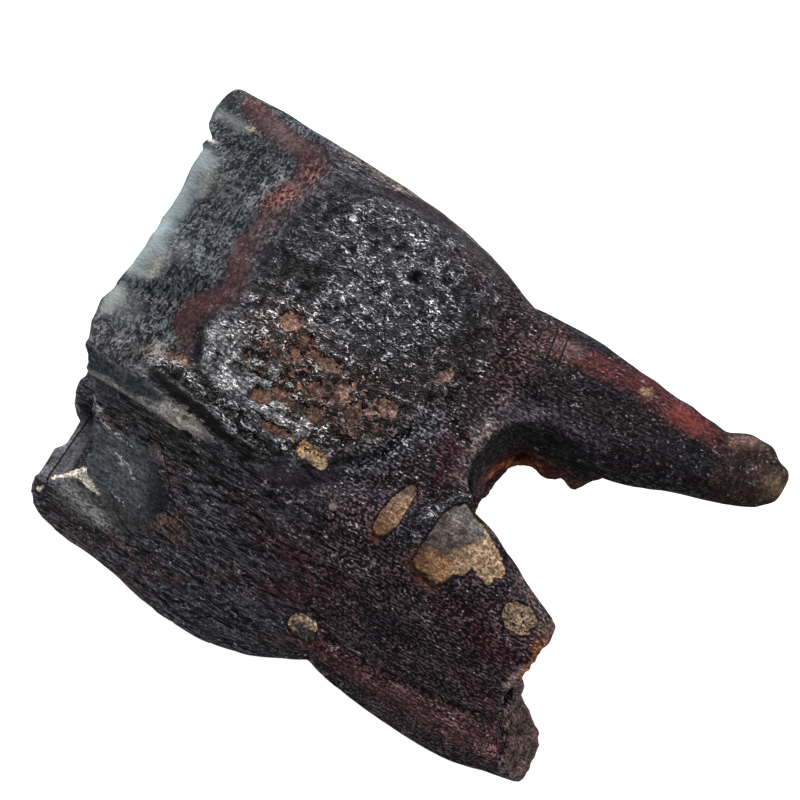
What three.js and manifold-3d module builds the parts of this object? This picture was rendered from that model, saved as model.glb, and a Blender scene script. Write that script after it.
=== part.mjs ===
// A fossil upper cheek tooth of a woolly rhinoceros: one solid, lying on its tongue side.
//
// Frame: X runs from the worn chewing surface (-X) to the root tips (+X), Y from the back of the
// jaw (distal, -Y) to the front (mesial, +Y), and Z from the tongue side, which rests on the
// ground, to the cheek side. Lengths are millimetres. The tooth is shaped in anatomical
// coordinates first, with the chewing edge near x = 0 and the distal cheek corner at y = 0,
// and then moved so that the origin is at the bottom centre of its box.
import * as THREE from 'three';
import { LoftGeometry } from 'three/addons/geometries/LoftGeometry.js';
import { mergeVertices } from 'three/addons/utils/BufferGeometryUtils.js';
import Module from 'manifold-3d';

// Driving dimensions.
const NECK_X = 54; // how far the crown body runs before only roots are left
const CROWN_X = [-12, 2, 14, 24, 36, 46, NECK_X]; // stations of the crown outlines
const ARCH_X = 49; // apex of the arch between the two cheek roots
const ARCH_Y = [5, 19]; // its distal and mesial sides
const LIP_Z = 36; // the roof of the arch is broken off below this height
const STUB_X = 45; // where the lingual root has broken off
const WEAR_TILT = THREE.MathUtils.degToRad(2.2); // the chewing surface runs out a little mesially
const VALLEY_HALF_WIDTH = 3.2;
const VALLEY_FLOOR_X = 14;
const GROUND_Z = -4; // the resting plane, which flattens the tongue side where it touches

// Smoothness of the faceted skins.
const STEPS_PER_LANDMARK = 3;
const STEPS_PER_STATION = 3;
const ROOT_LANDMARKS = 14;

// Landmarks round the crown, from the mesial tongue corner up the mesial side, over the cheek
// face, down the distal side and back along the tongue side. Each has its [y, z] at the
// stations of CROWN_X, from the chewing end to the neck.
const crownLandmarks = {
  mesialLow: [[35, 6], [36, 6], [37, 6], [37, 6], [35, 6], [32, 9], [30, 16]],
  mesialMiddle: [[39, 21], [40.5, 21], [41, 21], [40.5, 21], [38.5, 21], [35, 22], [32, 26]],
  mesialHigh: [[42, 37], [42.5, 37], [43.2, 37], [42.6, 37], [39.8, 37], [35.6, 37], [33.5, 38]],
  parastyleSide: [[43, 45.5], [43, 45.5], [42.8, 45], [41.8, 44.6], [39, 44.6], [34.6, 44], [33, 44]],
  parastyle: [[42, 49.8], [41.6, 49.6], [40.4, 48.8], [39.2, 48.4], [36.4, 48.6], [31.6, 48.2], [29.6, 47.6]],
  parastyleFold: [[38, 49], [36.5, 49.4], [35, 50], [34, 50.2], [31, 50.4], [26.6, 49.8], [25.6, 48.8]],
  paraconeRib: [[31.5, 50.5], [31, 50.6], [30, 50.8], [28.5, 51], [25.5, 51], [22, 50], [21.4, 48.6]],
  middleFold: [[25, 49.4], [24.5, 49.8], [23.5, 50.6], [22.5, 51], [20, 51], [18, 50.2], [17.6, 48.6]],
  metaconeRib: [[18, 50.4], [17.5, 50.6], [17.5, 50.9], [17, 51.1], [15, 51], [13.5, 50.2], [13, 49.2]],
  distalFold: [[10.5, 49.4], [11, 49.7], [11.5, 50.2], [11.5, 50.4], [10.5, 50.2], [9, 49.8], [8, 48.8]],
  trench: [[5.5, 49.7], [5.5, 49], [5.8, 47.4], [6.5, 48.2], [6, 48.6], [5, 48.8], [4, 48]],
  ridgeTop: [[1.6, 50], [1.4, 49.9], [1, 48.4], [1.5, 46.4], [1.5, 46.4], [1, 46.8], [1, 46]],
  ridgeSide: [[-0.8, 48], [-0.9, 47.6], [-1.6, 46.4], [-2, 43], [-3, 42], [-2.6, 42.6], [-2, 42]],
  distalHigh: [[-0.4, 42], [-0.5, 42], [-2.4, 40], [-4.4, 37], [-5.4, 35], [-5, 34], [-3.4, 34]],
  distalMiddle: [[-2.4, 32], [-3, 32], [-5.4, 30], [-7.4, 27], [-8, 25], [-6, 24], [-3, 25]],
  distalLow: [[-6, 21], [-6.5, 20], [-8.6, 17], [-10, 14], [-9.5, 13], [-5, 14], [-1, 16]],
  hypoconeCorner: [[-9, 11], [-10, 9], [-12, 5], [-11.8, 3.6], [-8, 5.4], [-3, 8], [1, 10]],
  hypoconeUnder: [[-7, 1.6], [-8, 0.6], [-9.6, -2], [-8.6, -3], [-4.4, -1], [0, 2.4], [4, 6]],
  hypoconeTongue: [[0, 0], [-1, -1.6], [-1, -4], [-1, -5], [1, -3.6], [4, 0.6], [7, 5]],
  valleyDistal: [[7, 2], [7.5, 0], [8, -2.4], [8, -4.2], [8.6, -3], [9.4, 1], [11, 5]],
  valley: [[13, 6], [14, 5], [14, 2.5], [14, -0.4], [14, -1], [14, 2], [15, 6]],
  valleyMesial: [[18, 2], [19.5, 0], [20, -2.4], [20, -4.2], [20, -3], [19, 1.5], [19, 6]],
  protoconeTongue: [[25, -0.5], [26, -2.4], [27, -4], [27, -5], [26, -3.6], [24, 2], [23, 7]],
  protoconeUnder: [[31, 1], [33, -0.2], [34, -1], [34, -1.6], [32, -0.4], [29, 4], [27, 10]],
};

// Cross-sections of the roots: centre (y, z), half width along Y, half height along Z, and lean,
// the drift of y for each millimetre of height.
const distalRoot = [
  { x: 24, y: 0, z: 32, width: 3.4, height: 9, lean: 0.14 },
  { x: 29, y: -2.4, z: 28, width: 4.8, height: 15.6, lean: 0.13 },
  { x: 36, y: -2.7, z: 24.2, width: 5.4, height: 22.6, lean: 0.13 },
  { x: 44, y: -2.2, z: 23, width: 6, height: 25.8, lean: 0.14 },
  { x: 52, y: -2, z: 22.2, width: 6.4, height: 26.8, lean: 0.15 },
  { x: 58, y: -2.7, z: 20.6, width: 5.9, height: 25.2, lean: 0.13 },
  { x: 63, y: -3.6, z: 20.2, width: 5, height: 22.6, lean: 0.11 },
  { x: 68.4, y: -4.2, z: 19.2, width: 4.2, height: 20, lean: 0.09 },
];
const mesialRoot = [
  { x: 40, y: 28, z: 43, width: 6, height: 5.5, lean: 0 },
  { x: 47, y: 27.6, z: 41, width: 7, height: 9, lean: 0 },
  { x: 55, y: 26.8, z: 40.2, width: 7.6, height: 10.2, lean: 0 },
  { x: 63, y: 25.6, z: 44.2, width: 6.6, height: 6.2, lean: 0 },
  { x: 71, y: 25.6, z: 46, width: 5, height: 4, lean: 0 },
  { x: 77, y: 26, z: 46.4, width: 4.1, height: 3.3, lean: 0 },
  { x: 81.4, y: 26.8, z: 46.6, width: 3.4, height: 2.9, lean: 0 },
  { x: 84, y: 27.2, z: 46.8, width: 1.7, height: 1.7, lean: 0 },
];

// Pits of the chewing surface and the pulp canal of the broken root: ovals that shrink inwards.
const pits = {
  postfossette: { mouth: [-14, 3.6, 30.5], floor: [9, 3.2, 31], width: 2.6, height: 11, taper: 0.35 },
  medifossette: { mouth: [-14, 21, 33], floor: [7, 21, 34], width: 3, height: 4.2, taper: 0.4 },
  prefossette: { mouth: [-14, 33, 33], floor: [4, 32.5, 33], width: 1.8, height: 5, taper: 0.4 },
  pulpCanal: { mouth: [74, -3.4, 23], floor: [48, -2.4, 25], width: 2.4, height: 13, taper: 0.3 },
};

const wasm = await Module();
wasm.setup();

// A closed three.js geometry as a solid that can be joined and cut.
function solidOf(geometry) {
  const bare = new THREE.BufferGeometry();
  bare.setAttribute('position', geometry.getAttribute('position'));
  bare.setIndex(geometry.index);
  const merged = mergeVertices(bare, 1e-4);
  const mesh = new wasm.Mesh({
    numProp: 3,
    vertProperties: new Float32Array(merged.attributes.position.array),
    triVerts: new Uint32Array(merged.index.array),
  });
  return new wasm.Manifold(mesh);
}

// A smooth skin through sections of matching landmarks, closed at both ends.
function skin(sections, stepsAlong, stepsAround) {
  const rails = sections[0].map((_, i) => new THREE.CatmullRomCurve3(sections.map((s) => s[i])));
  const rowCount = (sections.length - 1) * stepsAlong;
  const rings = [];
  for (let row = 0; row <= rowCount; row += 1) {
    const landmarks = rails.map((rail) => rail.getPoint(row / rowCount));
    const outline = new THREE.CatmullRomCurve3(landmarks, true);
    rings.push(outline.getPoints(landmarks.length * stepsAround).slice(0, -1));
  }
  return new LoftGeometry(rings, { capStart: true, capEnd: true });
}

// Points round an oval across X. Squareness below 1 flattens its sides.
function oval({ x, y, z, width, height, lean = 0 }, count, squareness) {
  const bend = (value) => Math.sign(value) * Math.abs(value) ** squareness;
  return Array.from({ length: count }, (_, i) => {
    const angle = (i / count) * 2 * Math.PI;
    const up = height * bend(Math.sin(angle));
    return new THREE.Vector3(x, y + lean * up + width * bend(Math.cos(angle)), z + up);
  });
}

function crown() {
  const landmarks = Object.values(crownLandmarks);
  const sections = CROWN_X.map((x, i) => landmarks.map((rail) => new THREE.Vector3(x, ...rail[i])));
  return solidOf(skin(sections, STEPS_PER_STATION, STEPS_PER_LANDMARK));
}

function root(stations, squareness) {
  const sections = stations.map((station) => oval(station, ROOT_LANDMARKS, squareness));
  return solidOf(skin(sections, STEPS_PER_STATION, 2));
}

function pit({ mouth, floor, width, height, taper }) {
  const rings = [0, 0.5, 0.8, 0.94, 1].map((t) => {
    const [x, y, z] = mouth.map((value, axis) => THREE.MathUtils.lerp(value, floor[axis], t));
    const open = Math.sqrt(1 - (1 - taper ** 2) * t ** 4);
    return oval({ x, y, z, width: width * open, height: height * open }, 20, 0.9);
  });
  if (mouth[0] > floor[0]) rings.reverse();
  return solidOf(new LoftGeometry(rings, { capStart: true, capEnd: true }));
}

// An outline of [x, z] points, pushed along Y and turned about the vertical.
function crosswise(outline, from, to, turn = 0) {
  const shape = new THREE.Shape(outline.map(([x, z]) => new THREE.Vector2(x, z)));
  const geometry = new THREE.ExtrudeGeometry(shape, { depth: to - from, bevelEnabled: false });
  return solidOf(geometry.rotateX(Math.PI / 2).translate(0, to, 0).rotateZ(turn));
}

// Everything worn off the crown: the chewing surface stands highest over the lingual cusps.
function wear() {
  const edge = new THREE.SplineCurve([
    new THREE.Vector2(-1.2, 56),
    new THREE.Vector2(-1.2, 50),
    new THREE.Vector2(-0.8, 44),
    new THREE.Vector2(-4.4, 34),
    new THREE.Vector2(-6.6, 24),
    new THREE.Vector2(-7.4, 14),
    new THREE.Vector2(-5, 6),
    new THREE.Vector2(-1, 1),
    new THREE.Vector2(6, -5),
    new THREE.Vector2(11, -10),
  ]);
  const worn = edge.getPoints(36).map(({ x, y }) => [x, y]);
  return crosswise([[-30, -10], [-30, 56], ...worn], -30, 60, WEAR_TILT);
}

// The worn-down stretch of the distal wall, in front of the postfossette.
function distalNotch() {
  return crosswise([[-30, 40.5], [0.4, 41.5], [1.2, 33], [1.6, 26], [0.2, 23], [-4.5, 18], [-30, 16]], -30, 4.5);
}

// The median valley between protocone and hypocone: a tapering slot, open to the tongue side.
function medianValley() {
  const path = new THREE.SplineCurve([
    new THREE.Vector2(14, -8),
    new THREE.Vector2(14.5, 6),
    new THREE.Vector2(17, 17),
    new THREE.Vector2(21, 25),
  ]);
  const steps = 9;
  const sides = [[], []];
  for (let i = 0; i <= steps; i += 1) {
    const t = i / steps;
    const point = path.getPoint(t);
    const across = path.getTangent(t).rotateAround(new THREE.Vector2(), Math.PI / 2);
    const half = VALLEY_HALF_WIDTH * Math.sqrt(1.02 - t);
    sides[0].push(point.clone().addScaledVector(across, half));
    sides[1].unshift(point.clone().addScaledVector(across, -half));
  }
  const shape = new THREE.Shape(sides.flat());
  const geometry = new THREE.ExtrudeGeometry(shape, { depth: VALLEY_FLOOR_X + 14, bevelEnabled: false });
  // The shape's own axes become Y and Z, and its depth runs along X from the chewing side.
  const turn = new THREE.Matrix4().set(0, 0, 1, -14, 1, 0, 0, 0, 0, 1, 0, 0, 0, 0, 0, 1);
  return solidOf(geometry.applyMatrix4(turn));
}

// The gap between the two cheek roots.
function furcation() {
  const [distalSide, mesialSide] = ARCH_Y;
  const arch = new THREE.SplineCurve([
    new THREE.Vector2(90, distalSide - 14),
    new THREE.Vector2(66, distalSide - 4),
    new THREE.Vector2(54, distalSide - 1),
    new THREE.Vector2(ARCH_X + 0.6, distalSide + 3),
    new THREE.Vector2(ARCH_X, distalSide + 6),
    new THREE.Vector2(ARCH_X + 1, mesialSide - 3),
    new THREE.Vector2(ARCH_X + 4, mesialSide),
    new THREE.Vector2(ARCH_X + 12, mesialSide - 0.2),
    new THREE.Vector2(90, mesialSide - 2),
  ]);
  const shape = new THREE.Shape(arch.getPoints(48));
  return solidOf(new THREE.ExtrudeGeometry(shape, { depth: 80, bevelEnabled: false }).translate(0, 0, -10));
}

// The lingual root has broken away: a slanting break under the roof of the arch.
function lingualBreak() {
  const outline = [
    [100, LIP_Z + 3], [100, -20], [STUB_X - 4, -20], [STUB_X - 2, 6], [STUB_X, 14], [STUB_X + 2, 26],
    [ARCH_X + 2, LIP_Z - 1], [ARCH_X + 14, LIP_Z + 2],
  ];
  return crosswise(outline, 3, 60);
}

// The distal root ends in a break, hollowed at mid height.
function distalBreak() {
  const outline = [
    [90, 60], [70, 60], [66.8, 38], [65, 31], [63, 24], [62.3, 17], [63, 10.5], [65.4, 6.5], [67.6, 3],
    [67, -1.5], [63.5, -8], [90, -8],
  ];
  return crosswise(outline, -20, 9);
}

function toothSolid() {
  const body = crown().subtract(furcation()).subtract(lingualBreak());
  const joined = body.add(root(distalRoot, 0.75)).add(root(mesialRoot, 0.6));
  const ground = solidOf(new THREE.BoxGeometry(300, 300, 60).translate(0, 0, GROUND_Z - 30));
  const cutters = [wear(), distalNotch(), distalBreak(), medianValley(), ground, ...Object.values(pits).map(pit)];
  return cutters.reduce((tooth, cutter) => tooth.subtract(cutter), joined);
}

function tooth() {
  const { vertProperties, triVerts } = toothSolid().getMesh();
  const geometry = new THREE.BufferGeometry();
  geometry.setAttribute('position', new THREE.BufferAttribute(new Float32Array(vertProperties), 3));
  geometry.setIndex(new THREE.BufferAttribute(new Uint32Array(triVerts), 1));
  geometry.computeBoundingBox();
  const { min, max } = geometry.boundingBox;
  geometry.computeVertexNormals();
  const material = new THREE.MeshStandardMaterial({ color: 0x2a2023, roughness: 0.42, metalness: 0 });
  const mesh = new THREE.Mesh(geometry, material);
  mesh.name = 'tooth';
  mesh.position.set(-(min.x + max.x) / 2, -(min.y + max.y) / 2, -min.z);
  return mesh;
}

const fossil = new THREE.Group();
fossil.add(tooth());

export default fossil;
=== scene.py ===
import math

import bmesh
import bpy
import numpy as np
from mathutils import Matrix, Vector, noise


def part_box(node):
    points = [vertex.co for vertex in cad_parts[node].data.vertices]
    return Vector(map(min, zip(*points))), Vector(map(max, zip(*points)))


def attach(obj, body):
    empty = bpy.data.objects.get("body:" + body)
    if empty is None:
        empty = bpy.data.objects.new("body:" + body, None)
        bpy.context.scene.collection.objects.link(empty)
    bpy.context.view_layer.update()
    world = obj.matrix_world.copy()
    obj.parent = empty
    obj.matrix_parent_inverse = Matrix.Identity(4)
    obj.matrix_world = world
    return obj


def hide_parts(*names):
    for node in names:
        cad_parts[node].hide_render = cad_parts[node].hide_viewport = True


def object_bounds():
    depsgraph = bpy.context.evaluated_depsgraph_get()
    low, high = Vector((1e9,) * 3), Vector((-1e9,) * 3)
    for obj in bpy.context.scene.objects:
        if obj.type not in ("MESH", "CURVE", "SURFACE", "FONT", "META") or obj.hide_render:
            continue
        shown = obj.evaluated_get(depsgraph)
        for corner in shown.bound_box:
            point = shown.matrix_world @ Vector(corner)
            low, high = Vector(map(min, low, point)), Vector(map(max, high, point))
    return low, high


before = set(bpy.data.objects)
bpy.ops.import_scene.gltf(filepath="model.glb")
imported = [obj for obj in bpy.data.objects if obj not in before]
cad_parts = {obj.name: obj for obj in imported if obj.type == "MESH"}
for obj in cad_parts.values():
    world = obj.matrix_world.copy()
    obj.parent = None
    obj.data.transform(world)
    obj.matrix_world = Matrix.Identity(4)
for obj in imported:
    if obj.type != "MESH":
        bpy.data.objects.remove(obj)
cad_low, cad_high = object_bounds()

# ------------------------------------------------------------------------------
# The tooth: one upper cheek tooth of a woolly rhinoceros, lying on its tongue side with the cheek
# side up. Enamel, root cement and dentine grew as one body; thousands of years in wet ground
# stained it black and red-brown, wore the cement off in patches and broke one root.
# ------------------------------------------------------------------------------

mesh_step, merge_within = 0.0005, 0.000002
skin = bmesh.new()
skin.from_mesh(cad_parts["tooth"].data)
bmesh.ops.remove_doubles(skin, verts=skin.verts, dist=merge_within)
rough_mesh = bpy.data.meshes.new("tooth_rough")
skin.to_mesh(rough_mesh)
skin.free()
rough = bpy.data.objects.new("tooth_rough", rough_mesh)
bpy.context.collection.objects.link(rough)
even = rough.modifiers.new("even", "REMESH")
even.mode = "VOXEL"
even.voxel_size = mesh_step
even.use_smooth_shade = True
evaluated = rough.evaluated_get(bpy.context.evaluated_depsgraph_get())
tooth_mesh = bpy.data.meshes.new_from_object(evaluated)
tooth_mesh.name = "tooth_surface"
bpy.data.objects.remove(rough)
tooth = bpy.data.objects.new("tooth_surface", tooth_mesh)
bpy.context.collection.objects.link(tooth)

# From here on, sizes of the tooth are in mm. x runs from the chewing edge to the root tips, y from
# the rear face to the front face, and z from the tongue side to the cheek side. The zero point lies
# this far inside the low corner of the tooth's box.
zero_in_box = (8.935, 12.182, 4.0)
corner = np.array(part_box("tooth")[0]) * 1000 + zero_in_box
count = len(tooth_mesh.vertices)
place = np.empty(count * 3)
tooth_mesh.vertices.foreach_get("co", place)
place = place.reshape(-1, 3) * 1000 - corner
ends = np.empty(len(tooth_mesh.edges) * 2, dtype=np.int64)
tooth_mesh.edges.foreach_get("vertices", ends)
ends = ends.reshape(-1, 2)
touching = np.bincount(ends.ravel(), minlength=count)[:, None]
faces = np.empty(len(tooth_mesh.polygons) * 4, dtype=np.int64)
tooth_mesh.polygons.foreach_get("vertices", faces)
faces = faces.reshape(-1, 4)


def settle(values, rounds, pull=0.5, push=0.0):
    """Evens values out over the surface; a push after each pull keeps the volume."""
    for _ in range(rounds):
        for amount in (pull, -push):
            if amount == 0.0:
                continue
            total = np.stack([
                np.bincount(ends[:, 0], column[ends[:, 1]], count)
                + np.bincount(ends[:, 1], column[ends[:, 0]], count)
                for column in values.T], axis=1)
            values = values + amount * (total / touching - values)
    return values


def outward(points):
    """The outward direction at each point of the surface."""
    a, b, c, d = (points[faces[:, i]] for i in range(4))
    across = np.cross(c - a, d - b)
    total = np.stack([
        sum(np.bincount(faces[:, i], across[:, k], count) for i in range(4))
        for k in range(3)], axis=1)
    return total / np.maximum(np.linalg.norm(total, axis=1, keepdims=True), 1e-9)


def ramp(value, start, end):
    """0 before start and 1 after end, with a smooth rise between; start may be the larger."""
    t = np.clip((value - start) / (end - start), 0, 1)
    return t * t * (3 - 2 * t)


def between(value, start, end, soft):
    """1 between start and end, falling off over soft mm outside them."""
    return ramp(value, start - soft, start) * ramp(value, end + soft, end)


def grain(size, seed=0.0, stretch=(1, 1, 1)):
    """Random height from about -1 to 1, in lumps of the given size in mm."""
    return np.array([noise.noise(p) for p in (place / stretch / size + seed * 7.31).tolist()])


def lumps(size, seed=0.0, octaves=3, stretch=(1, 1, 1)):
    """Random height with finer and finer lumps on top of each other."""
    return sum(grain(size / 2 ** i, seed + i * 3.7, stretch) / 2 ** i for i in range(octaves))


def line(points):
    """Distance in mm from a bent line."""
    points = np.array(points, float)
    nearest = np.full(count, 1e9)
    for a, b in zip(points, points[1:]):
        t = np.clip((place - a) @ (b - a) / ((b - a) @ (b - a)), 0, 1)
        nearest = np.minimum(nearest, np.linalg.norm(place - a - t[:, None] * (b - a), axis=1))
    return nearest


def inside(outline, first=0, second=1):
    """Distance in mm inside an outline drawn on two of the axes; less than 0 outside it."""
    outline = np.array(outline, float)
    u, v = place[:, first], place[:, second]
    nearest, within = np.full(count, 1e9), np.zeros(count, bool)
    for (au, av), (bu, bv) in zip(outline, np.roll(outline, -1, axis=0)):
        t = np.clip(((u - au) * (bu - au) + (v - av) * (bv - av))
                    / ((bu - au) ** 2 + (bv - av) ** 2), 0, 1)
        nearest = np.minimum(nearest, np.hypot(u - au - t * (bu - au), v - av - t * (bv - av)))
        if av != bv:
            within ^= ((av > v) != (bv > v)) & (u < (bu - au) * (v - av) / (bv - av) + au)
    return np.where(within, nearest, -nearest)


def bell(distance, reach):
    """1 at no distance, falling off smoothly to nearly 0 at twice the reach in mm."""
    return np.exp(-(distance / reach) ** 2)


def blob(points, reach):
    """1 on a bent line, falling off on all sides of it."""
    return bell(line(points), reach)


# The even skin still shows the flat faces it was cut from, so it is smoothed, but nowhere by more
# than this.
most_moved = 0.45
moved = settle(place, 40, 0.5, 0.51) - place
far_moved = np.linalg.norm(moved, axis=1, keepdims=True)
place = place + moved * np.minimum(1, most_moved / np.maximum(far_moved, 1e-9))
x, y, z = place.T
way = settle(outward(place), 6)
way /= np.linalg.norm(way, axis=1, keepdims=True)
cheek = ramp(way[:, 2], 0.2, 0.55) * ramp(z, 36, 41)
rear = ramp(-way[:, 1], 0.25, 0.6)
chewing = ramp(-way[:, 0], 0.6, 0.85) * ramp(x, 9, 4)
broad = lumps(9.0, 11.0, 3)
cloud = lumps(4.0, 13.0, 3)
ragged = lumps(1.5, 12.0, 2)
height = np.zeros(count)
far = 9.0   # mm, stands for a place that is nowhere near

# Wear edge: the front corner of the crown stands proud, and the edge is chipped and wavy.
edge_y = [-4, 0.7, 3.8, 7, 10.9, 16, 27, 32, 32.4, 34.1, 34.9, 35.7, 38.3, 40.4, 42.4, 44]
edge_x = [0, 0, 1.2, 1.7, 1, 0, 0.2, 0.3, 0.9, 0.1, 1.2, 1.8, 2, 1.6, 0.9, 0.8]
proud = np.interp(y, edge_y, edge_x) * ramp(z, 41, 46.5) * ramp(x, 5, -1.2)
proud += 1.5 * between(z, 25, 39, 3) * ramp(y, 3.4, 0.6) * ramp(x, 5, 0)
chips = np.interp(y, (-2.6, -1.4, 2.6, 3.6, 4.4, 6, 7.4), (0, -1.1, -1.1, -0.4, 1, 0.9, 0))
proud += chips * between(z, 13, 22, 2) * ramp(x, -4.5, -6)
proud += 0.8 * between(z, 9, 17, 2) * ramp(y, -6.5, -8) * ramp(x, -2.5, -5)
flutes = np.interp(y, [2, 7, 11, 16.5, 21.2, 28.5, 34.3, 37.3, 42], [0, 1, -1, 1, -1, 1, -1, 1, 0])
height += flutes * cheek * ramp(x, 9, 1) * 0.28

# Rough cement on the cheek side: a crust about 1 mm thick, wrinkled, ending at a ragged step on
# its rear side and thinning out towards the wear edge.
crust = inside([(15.4, 34.5), (25.8, 37.3), (36.1, 35), (42.1, 31.5), (44, 23.3), (42.6, 17.8),
                (41, 12.6), (38.3, 7.3), (34.5, 4.2), (29.8, 1.4), (24.8, 1.2), (20.6, 2.7),
                (16.4, 4), (12.5, 6.2), (11.3, 9.7), (13.4, 14.9), (13.5, 23)])
crust = np.where(z > 40, crust, -far) + cloud * 0.8
in_crust = ramp(crust, -0.6, 0.5)
thinning = ramp(crust, -2.6, 1.6)
folds = 0.5 - np.abs(lumps(2.2, 2, 2))
room = cad_high.z * 1000 - corner[2] - z
height -= ramp(crust, -5, 0.5) * np.maximum(0.95 - room, 0)
height += ramp(crust, -1, 0.8) * (0.3 + folds * 0.65 + lumps(4.5, 33, 2) * 0.35)
height -= ramp(crust, -2.4, -0.9) * ramp(crust, 0.2, -0.9) * between(y, -3, 9, 2) * 0.5

# Bare brown patches in the crust, with a sharp ragged rim. Where the cement flaked off, the
# surface lies this much lower.
flake_depth = 0.45
patches, patch_side = np.full(count, -far), np.zeros(count)
for px, py, long, wide in ((19.9, 15.6, 1.9, 1.5), (22.6, 14.2, 1.5, 0.8), (22.6, 12, 1, 0.8),
                           (24.9, 12.9, 1.1, 0.8), (21.2, 5.6, 1.5, 1), (23.4, 7, 1.4, 1),
                           (27.4, 12.6, 1.6, 1), (30.3, 10.2, 1.3, 1.6), (33, 8.6, 1.2, 1.4),
                           (24.6, 3, 1.9, 0.7), (28.6, 6.6, 1.7, 1), (17.2, 9.4, 0.8, 0.6),
                           (36.4, 11.2, 1.4, 1.2), (27.4, 9.2, 1.3, 0.9), (40.4, 18.4, 1, 1.4)):
    depth = (1 - np.hypot((x - px) / long, (y - py) / wide)) * min(long, wide)
    patch_side = np.where(depth > patches, (y - py) / wide, patch_side)
    patches = np.maximum(patches, depth)
patches = np.where(z > 44, patches, -far) + ragged * 0.45
height -= ramp(patches, -0.15, 0.25) * flake_depth
height += bell(patches + 0.55, 0.35) * 0.15
pit = np.where(z > 44, np.hypot(x - 30.7, y - 28.6) + ragged * 0.3, far)
height -= bell(pit, 0.9) * 0.7
height += bell(pit - 1.6, 0.5) * 0.2

# Rib at the rear edge of the cheek side: two crests with a groove between, above a dark trench.
upper_crest = line([(-0.8, 0.6, 49.5), (3.4, 0.5, 49.3), (7.1, 0.2, 48.9), (10.3, 0, 48.5),
                    (14.2, -0.3, 47.7), (18.3, -0.7, 46.4), (21, -1.4, 45)])
lower_crest = line([(-0.5, -0.8, 45.6), (2.4, -0.9, 45.4), (5.3, -1.2, 46.1), (8.4, -1.4, 46),
                    (11.6, -1.5, 46.2), (14.9, -1.6, 46.1), (19.2, -1.4, 45.2)])
trench = line([(4.4, 2, 49), (8.9, 2.6, 49.1), (13.4, 2.3, 48.3), (17.6, 1.3, 47),
               (21.6, 0.5, 46), (26.5, -0.8, 45.2)])
height += bell(upper_crest, 0.6) * 0.6 + bell(lower_crest, 0.8) * 0.5
height -= bell(trench, 1.2) * 0.8

# Windows where the dark cement flaked off the rear root and left the tan layer bare.
windows = np.full(count, -far)
for outline in (
        [(43.6, 4.4), (44.5, 4.3), (45, 3.1), (45, 1), (44.9, -0.9), (44.2, -2.1), (43.4, -2.9), (42.4, -3),
         (41.7, -2.4), (41.8, -1.2), (42.2, 1.1), (42.8, 3.1)],
        [(49.7, 4.1), (50.8, 5.3), (54, 4.9), (56.3, 3.2), (58.1, 2.1), (59.1, 0.8),
         (59, -0.2), (58.2, -0.6), (58.2, -1.6), (57.7, -2), (56.6, -1.7), (55.2, -1.3),
         (54.9, -2.4), (53.5, -2.8), (52.9, -3.5), (51.8, -4), (50.3, -3.9),
         (48.8, -3.8), (47.8, -3.3), (48.3, -2.2), (48.8, -0.5), (49, 1.6)],
        [(60.6, -2.3), (61.8, -1.1), (63.5, -0.6), (64.7, -1), (65.2, -2.3), (64.8, -3.7), (63.4, -4.4),
         (61.6, -4.3), (60.6, -3.4)]):
    windows = np.maximum(windows, np.where(z > 36, inside(outline), -far))
mottled = 1 - np.hypot((x - 34.8) / 2.2, (z - 18.2) / 2.9)
windows = np.maximum(windows, np.where(y < -6, mottled * 1.6, -far))
grey_dot = 0.75 - np.linalg.norm(place - (36.1, -2, 45.4), axis=1)
windows = np.maximum(windows, grey_dot) + grain(1.1, 4) * 0.15
height -= ramp(windows, -0.2, 0.35) * flake_depth
height += bell(windows + 0.6, 0.4) * 0.2

# A rope-like ridge of cement between the two larger windows, and the slit beside it.
rope = line([(45.9, -2.6, 45.9), (47.3, -0.1, 48.7), (48.4, 3, 49), (50.4, 5.8, 48.8)])
height += bell(rope, 0.9) * (0.55 + 0.25 * grain(0.9, 5))
slit = line([(41.6, 17.4, 50.6), (44.8, 13.2, 50.3), (47.4, 12, 50), (48.8, 10.1, 44), (48.9, 10.8, 36)])
height -= bell(slit, 0.55) * 0.6

# Groove above the rolled lower edge of the rear root.
fold = line([(34.5, -8.6, 21), (37.3, -8.6, 19.8), (41.2, -9, 17.2), (46.5, -9, 17.1),
             (52.4, -8.9, 18), (56.9, -8.9, 18.3), (61.2, -8.6, 19.6)])
roll = line([(36, -9.2, 15.5), (41, -9.4, 12.6), (47, -9.8, 12.6), (56, -9.9, 13.4), (63, -8.5, 14.2)])
height -= bell(fold, 1.1) * 0.55
height += bell(roll, 2) * 0.4

# Lumps at the tip of the front root, the ragged lip inside the arch, the broken end of the rear
# root and the stump of the root on the tongue side.
for px, py, pz, reach, rise in ((77.6, 29.8, 48.9, 2, 1.1), (80.4, 29.4, 48.6, 1.6, 0.7),
                                (74.2, 29.9, 48.8, 1, -0.4), (69, 30, 48.9, 1.6, 0.35),
                                (63, 30.2, 48.9, 1.4, 0.3), (82, 29.6, 48.3, 0.9, -0.5),
                                (83, 27.4, 48.9, 1, 0.5), (78.6, 25.6, 49.7, 1.2, -0.5),
                                (81.5, 25.2, 49.4, 1.2, 0.4), (74.6, 27.9, 49.8, 1, -0.3)):
    height += np.exp(-np.sum((place - (px, py, pz)) ** 2, axis=1) / reach ** 2) * rise
lip = ramp(x, 44, 48) * ramp(x, 67, 62) * ramp(z + ragged * 1.2, 42, 39.5) * ramp(y, 10, 14)
broken = ramp(way[:, 0], 0.45, 0.75) * ramp(x, 58, 61) * ramp(y, 4, 2)
off_rear_root = np.maximum(ramp(x, 60, 57), ramp(y, 3, 5))
stump = ramp(x, 38, 42) * ramp(z, 36, 32) * ramp(way[:, 0], 0.2, 0.5) * (1 - broken) * off_rear_root
torn = np.clip(lip + broken + stump, 0, 1)
height += torn * lumps(2.4, 21, 3) * 0.55

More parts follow.
